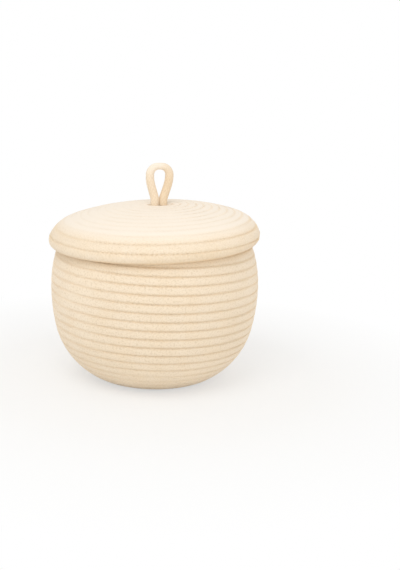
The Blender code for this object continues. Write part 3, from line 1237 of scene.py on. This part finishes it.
class BASKET_OT_stage(bpy.types.Operator):
    """Set the camera, the lamps, the world and a pale floor"""
    bl_idname = "rope_basket.stage"
    bl_label = "Stage"

    def execute(self, context):
        scene = context.scene
        stage = scene.basket_stage
        self.camera(scene, stage)
        self.world(scene, stage)
        self.lamp(scene, "key_lamp", KEY_PLACE, stage.key_power)
        self.lamp(scene, "side_lamp", SIDE_PLACE, stage.side_power)
        self.lamp(scene, "fill_lamp", FILL_PLACE, stage.fill_power)
        self.floor(scene)
        scene.view_settings.view_transform = "Standard"
        return {"FINISHED"}

    def camera(self, scene, stage):
        """The camera in front, turned to the right, up and about its own axis."""
        data = bpy.data.cameras.new("camera")
        data.lens = stage.lens
        data.clip_end = FARTHEST_SEEN
        eye = bpy.data.objects.new("camera", data)
        yaw, pitch = stage.yaw, stage.pitch
        ahead = np.array([math.sin(yaw) * math.cos(pitch), math.cos(yaw) * math.cos(pitch),
                          math.sin(pitch)])
        place = (0, -stage.distance, stage.height)
        eye.matrix_world = looking(place, -ahead, stage.roll)
        scene.collection.objects.link(eye)
        scene.camera = eye

    def world(self, scene, stage):
        """Soft light from all round. Seen directly it is plain white."""
        world = bpy.data.worlds.new("studio")
        world.use_nodes = True
        nodes = Nodes(world.node_tree)
        soft = nodes.node("ShaderNodeBackground", {"Color": SOFT_LIGHT,
                                                   "Strength": stage.ambient})
        white = nodes.node("ShaderNodeBackground", {"Color": WHITE, "Strength": 1.0})
        both = nodes.node("ShaderNodeMixShader", {0: seen_directly(nodes), 1: soft, 2: white})
        nodes.node("ShaderNodeOutputWorld", {"Surface": both})
        scene.world = world

    def lamp(self, scene, name, place, power):
        """A large round lamp that shines on the basket's middle."""
        data = bpy.data.lights.new(name, "AREA")
        data.shape = "DISK"
        data.size = LAMP_SIZE
        data.energy = power
        lamp = bpy.data.objects.new(name, data)
        lamp.matrix_world = looking(place, np.array(place) - np.array(LIT_PLACE))
        scene.collection.objects.link(lamp)

    def floor(self, scene):
        """A round pale floor. Seen directly it turns from a shaded pale grey to plain white."""
        material, nodes = new_material("pale_floor")
        far = nodes.length(nodes.node("ShaderNodeTexCoord", output="Object"))
        whiteness = nodes.node("ShaderNodeMapRange", {
            "Value": far, "From Min": SHADE_RADIUS, "From Max": WHITE_RADIUS,
            "To Min": LEAST_WHITE, "To Max": 1.0})
        share = nodes.clamp(seen_directly(nodes) * whiteness)
        lit = nodes.node("ShaderNodeBsdfDiffuse", {"Color": FLOOR_GREY})
        white = nodes.node("ShaderNodeEmission", {"Color": WHITE, "Strength": 1.0})
        both = nodes.node("ShaderNodeMixShader", {0: share, 1: lit, 2: white})
        nodes.node("ShaderNodeOutputMaterial", {"Surface": both})
        turn = np.arange(FLOOR_SIDES) / FLOOR_SIDES * FULL_TURN
        points = np.stack([FLOOR_RADIUS * np.cos(turn), FLOOR_RADIUS * np.sin(turn),
                           np.zeros(FLOOR_SIDES)], axis=-1)
        mesh = bpy.data.meshes.new("floor")
        mesh.from_pydata(points.tolist(), [], [list(range(FLOOR_SIDES))])
        mesh.materials.append(material)
        floor = bpy.data.objects.new("floor", mesh)
        scene.collection.objects.link(floor)


OPERATORS = [BASKET_OT_basket_rope, BASKET_OT_lid_rope, BASKET_OT_loop, BASKET_OT_stitches,
             BASKET_OT_stage]


class BASKET_PT_panel(bpy.types.Panel):
    """Lists the pieces of the basket and their sizes"""
    bl_label = "Rope Basket"
    bl_idname = "BASKET_PT_panel"
    bl_space_type = "VIEW_3D"
    bl_region_type = "UI"
    bl_category = "Basket"

    def draw(self, context):
        for operator in OPERATORS:
            self.layout.operator(operator.bl_idname)
        for group, kind in SETTINGS.items():
            box = self.layout.box()
            box.label(text=kind.__name__)
            for name in kind.__annotations__:
                box.prop(getattr(context.scene, group), name)


def register():
    for kind in [*SETTINGS.values(), *OPERATORS, BASKET_PT_panel]:
        bpy.utils.register_class(kind)
    for group, kind in SETTINGS.items():
        setattr(bpy.types.Scene, group, PointerProperty(type=kind))


def unregister():
    for group in SETTINGS:
        delattr(bpy.types.Scene, group)
    for kind in reversed([*SETTINGS.values(), *OPERATORS, BASKET_PT_panel]):
        bpy.utils.unregister_class(kind)


def main():
    register()
    bpy.ops.rope_basket.basket_rope()
    bpy.ops.rope_basket.lid_rope()
    bpy.ops.rope_basket.loop()
    bpy.ops.rope_basket.stitches()
    bpy.ops.rope_basket.stage()


if __name__ == "__main__":
    main()
